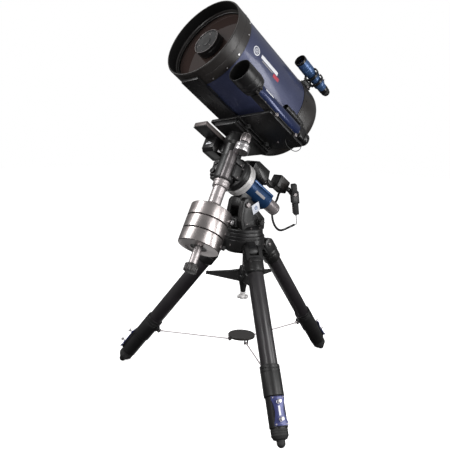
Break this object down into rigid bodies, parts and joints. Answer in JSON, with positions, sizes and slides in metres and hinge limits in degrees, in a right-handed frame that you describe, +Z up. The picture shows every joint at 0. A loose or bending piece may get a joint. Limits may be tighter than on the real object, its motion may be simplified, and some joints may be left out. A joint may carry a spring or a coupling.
{
  "type": "schmidt cassegrain telescope",
  "caption": "Large catadioptric telescope tube with finder and guide scope on a German equatorial mount with counterweights, over a folding steel-footed tripod.",
  "frame": {"origin": "on the ground, under the middle of the model's bounding box", "axes": "+Z up, the polar axis rises towards -Y, the counterweight side of the mount faces the viewer at azimuth about 47 degrees"},
  "size_m": [1.1892, 1.1294, 1.8391],
  "materials": {
    "black_casting": "black powder coat, satin",
    "bright_blue": "bright blue anodised",
    "chrome": "polished",
    "dark_grey": "charcoal paint, satin",
    "deep_black": "matt black",
    "glass": "coated",
    "mirror": "aluminised front",
    "ring_grey": "machined, bead blasted",
    "rubber": "matt",
    "steel": "brushed stainless",
    "tube_blue": "metallic blue paint"
  },
  "bodies": {
    "stand": {"tripod_head": "black_casting"},
    "spreader": {"spreader_hub": "black_casting"},
    "tension_knob": {"tension_knob": "chrome"},
    "brace_tray": {"brace_tray": "dark_grey"},
    "leg_1": {"leg_1_tube": "black_casting", "leg_1_collar": "black_casting", "leg_1_clamp": "bright_blue"},
    "leg_1_extension": {"leg_1_extension": "dark_grey", "leg_1_foot": "rubber"},
    "brace_rod_1": {"brace_rod_1": "steel"},
    "leg_2": {"leg_2_tube": "black_casting", "leg_2_collar": "black_casting", "leg_2_clamp": "bright_blue"},
    "leg_2_extension": {"leg_2_extension": "dark_grey", "leg_2_foot": "rubber"},
    "brace_rod_2": {"brace_rod_2": "steel"},
    "leg_3": {"leg_3_tube": "black_casting", "leg_3_collar": "black_casting", "leg_3_clamp": "bright_blue"},
    "leg_3_extension": {"leg_3_extension": "dark_grey", "leg_3_foot": "rubber"},
    "brace_rod_3": {"brace_rod_3": "steel"},
    "azimuth": {"mount_base": "black_casting", "latitude_bolt": "chrome"},
    "azimuth_knob": {"azimuth_knob": "black_casting"},
    "latitude": {"ra_housing": "tube_blue", "ra_rear_cap": "steel", "ra_motor_cover": "black_casting", "panel_box": "dark_grey", "handset": "rubber", "handset_cord": "rubber", "handset_lead": "rubber"},
    "ra_ring": {"ra_setting_ring": "ring_grey"},
    "ra_head": {"head_casting": "black_casting", "polar_shaft": "steel", "dec_motor_cover": "black_casting", "dec_sleeve": "steel", "counterweight_shaft": "steel"},
    "counterweight_1": {"counterweight_1": "steel"},
    "counterweight_2": {"counterweight_2": "steel"},
    "counterweight_3": {"counterweight_3": "steel"},
    "toe_saver": {"toe_saver": "dark_grey"},
    "dec_clutch": {"dec_clutch_knob": "chrome"},
    "optics": {"saddle_plate": "black_casting", "dovetail_bar": "black_casting", "optical_tube": "tube_blue", "front_cell": "dark_grey", "corrector_plate": "glass", "secondary_holder": "dark_grey", "baffle_tube": "deep_black", "rear_cell": "dark_grey", "visual_back": "black_casting", "finder_tube": "bright_blue", "finder_bracket": "black_casting", "guide_dew_shield": "black_casting", "guide_body": "bright_blue", "guide_rear_cap": "black_casting", "guide_cable": "rubber"},
    "primary_mirror": {"primary_mirror": "mirror"},
    "focus_knob": {"focus_knob": "black_casting"}
  },
  "joints": [
    {"name": "leg_1_fold", "type": "hinge", "parent": "stand", "child": "leg_1", "pos_m": [0.12124, -0.18922, 0.69586], "axis": [0.5, 0.866, 0], "range_deg": [0, 30]},
    {"name": "leg_1_length", "type": "slide", "parent": "leg_1", "child": "leg_1_extension", "axis": [0.5309, -0.3065, -0.7901], "range_m": [0, 0.3]},
    {"name": "brace_rod_1_swing", "type": "hinge", "parent": "leg_1", "child": "brace_rod_1", "pos_m": [0.3934, -0.3348, 0.20364], "axis": [-0.5, -0.866, 0], "range_deg": [0, 105.73]},
    {"name": "leg_2_fold", "type": "hinge", "parent": "stand", "child": "leg_2", "pos_m": [0, 0.02078, 0.69586], "axis": [-1, 0, 0], "range_deg": [0, 30]},
    {"name": "leg_2_length", "type": "slide", "parent": "leg_2", "child": "leg_2_extension", "axis": [0, 0.613, -0.7901], "range_m": [0, 0.3]},
    {"name": "brace_rod_2_swing", "type": "hinge", "parent": "leg_2", "child": "brace_rod_2", "pos_m": [-0.01, 0.32927, 0.20364], "axis": [1, 0, 0], "range_deg": [0, 105.73]},
    {"name": "leg_3_fold", "type": "hinge", "parent": "stand", "child": "leg_3", "pos_m": [-0.12124, -0.18922, 0.69586], "axis": [0.5, -0.866, 0], "range_deg": [0, 30]},
    {"name": "leg_3_length", "type": "slide", "parent": "leg_3", "child": "leg_3_extension", "axis": [-0.5309, -0.3065, -0.7901], "range_m": [0, 0.3]},
    {"name": "brace_rod_3_swing", "type": "hinge", "parent": "leg_3", "child": "brace_rod_3", "pos_m": [-0.3834, -0.35212, 0.20364], "axis": [-0.5, 0.866, 0], "range_deg": [0, 105.73]},
    {"name": "spreader_turn", "type": "hinge", "parent": "stand", "child": "spreader", "pos_m": [0, -0.11922, 0.54486], "axis": [0, 0, 1], "range_deg": [0, 60.1]},
    {"name": "brace_tray_drop", "type": "slide", "parent": "stand", "child": "brace_tray", "axis": [0, 0, -1], "range_m": [0, 0.4199]},
    {"name": "tension_knob_turn", "type": "hinge", "parent": "stand", "child": "tension_knob", "pos_m": [0, -0.11922, 0.43836], "axis": [0, 0, 1], "continuous": true},
    {"name": "azimuth_adjust", "type": "hinge", "parent": "stand", "child": "azimuth", "pos_m": [0, -0.11922, 0.75686], "axis": [0, 0, 1], "range_deg": [-10, 10]},
    {"name": "azimuth_knob_turn", "type": "hinge", "parent": "azimuth", "child": "azimuth_knob", "pos_m": [0.078, -0.08522, 0.81986], "axis": [1, 0, 0], "range_deg": [-720.5, 720.5]},
    {"name": "latitude_adjust", "type": "hinge", "parent": "azimuth", "child": "latitude", "pos_m": [0, -0.16422, 0.90886], "axis": [1, 0, 0], "range_deg": [-8, 20]},
    {"name": "ra_ring_turn", "type": "hinge", "parent": "latitude", "child": "ra_ring", "pos_m": [0, -0.16817, 1.02947], "axis": [0, -0.8387, 0.5446], "continuous": true},
    {"name": "right_ascension", "type": "hinge", "parent": "latitude", "child": "ra_head", "pos_m": [0, -0.25203, 1.08393], "axis": [0, -0.8387, 0.5446], "range_deg": [-99, 81]},
    {"name": "counterweight_3_slide", "type": "slide", "parent": "ra_head", "child": "counterweight_3", "axis": [0.1564, -0.5379, -0.8283], "range_m": [-0.02, 0.07]},
    {"name": "counterweight_1_slide", "type": "slide", "parent": "ra_head", "child": "counterweight_1", "axis": [0.1564, -0.5379, -0.8283], "range_m": [-0.02, 0.07]},
    {"name": "counterweight_2_slide", "type": "slide", "parent": "ra_head", "child": "counterweight_2", "axis": [0.1564, -0.5379, -0.8283], "range_m": [-0.02, 0.07]},
    {"name": "toe_saver_turn", "type": "hinge", "parent": "ra_head", "child": "toe_saver", "pos_m": [0.08045, -0.52869, 0.65791], "axis": [-0.1564, 0.5379, 0.8283], "continuous": true},
    {"name": "dec_clutch_turn", "type": "hinge", "parent": "ra_head", "child": "dec_clutch", "pos_m": [0.07902, -0.26618, 1.10804], "axis": [-0.1564, 0.5379, 0.8283], "range_deg": [0, 270]},
    {"name": "declination", "type": "hinge", "parent": "ra_head", "child": "optics", "pos_m": [0, -0.25203, 1.08393], "axis": [-0.1564, 0.5379, 0.8283], "range_deg": [-90, 90]},
    {"name": "primary_mirror_focus", "type": "slide", "parent": "optics", "child": "primary_mirror", "axis": [0, -0.8387, 0.5446], "range_m": [-0.01, 0.01]},
    {"name": "focus_knob_turn", "type": "hinge", "parent": "optics", "child": "focus_knob", "pos_m": [0.01729, 0.23484, 1.24739], "axis": [0, -0.8387, 0.5446], "range_deg": [-2865, 2865]}
  ],
  "couplings": [
    {"joint": "brace_rod_1_swing", "follows": "leg_1_fold", "ratio": 3.5227},
    {"joint": "brace_rod_2_swing", "follows": "leg_1_fold", "ratio": 3.5227},
    {"joint": "leg_2_fold", "follows": "leg_1_fold", "ratio": 1},
    {"joint": "brace_rod_3_swing", "follows": "leg_1_fold", "ratio": 3.5227},
    {"joint": "leg_3_fold", "follows": "leg_1_fold", "ratio": 1},
    {"joint": "spreader_turn", "follows": "leg_1_fold", "ratio": 2},
    {"joint": "brace_tray_drop", "follows": "leg_1_fold", "m_per_rad": 0.8},
    {"joint": "azimuth_knob_turn", "follows": "azimuth_adjust", "ratio": 72},
    {"joint": "counterweight_1_slide", "follows": "counterweight_3_slide", "ratio": 1},
    {"joint": "counterweight_2_slide", "follows": "counterweight_3_slide", "ratio": 1},
    {"joint": "focus_knob_turn", "follows": "primary_mirror_focus", "rad_per_m": 5000}
  ]
}
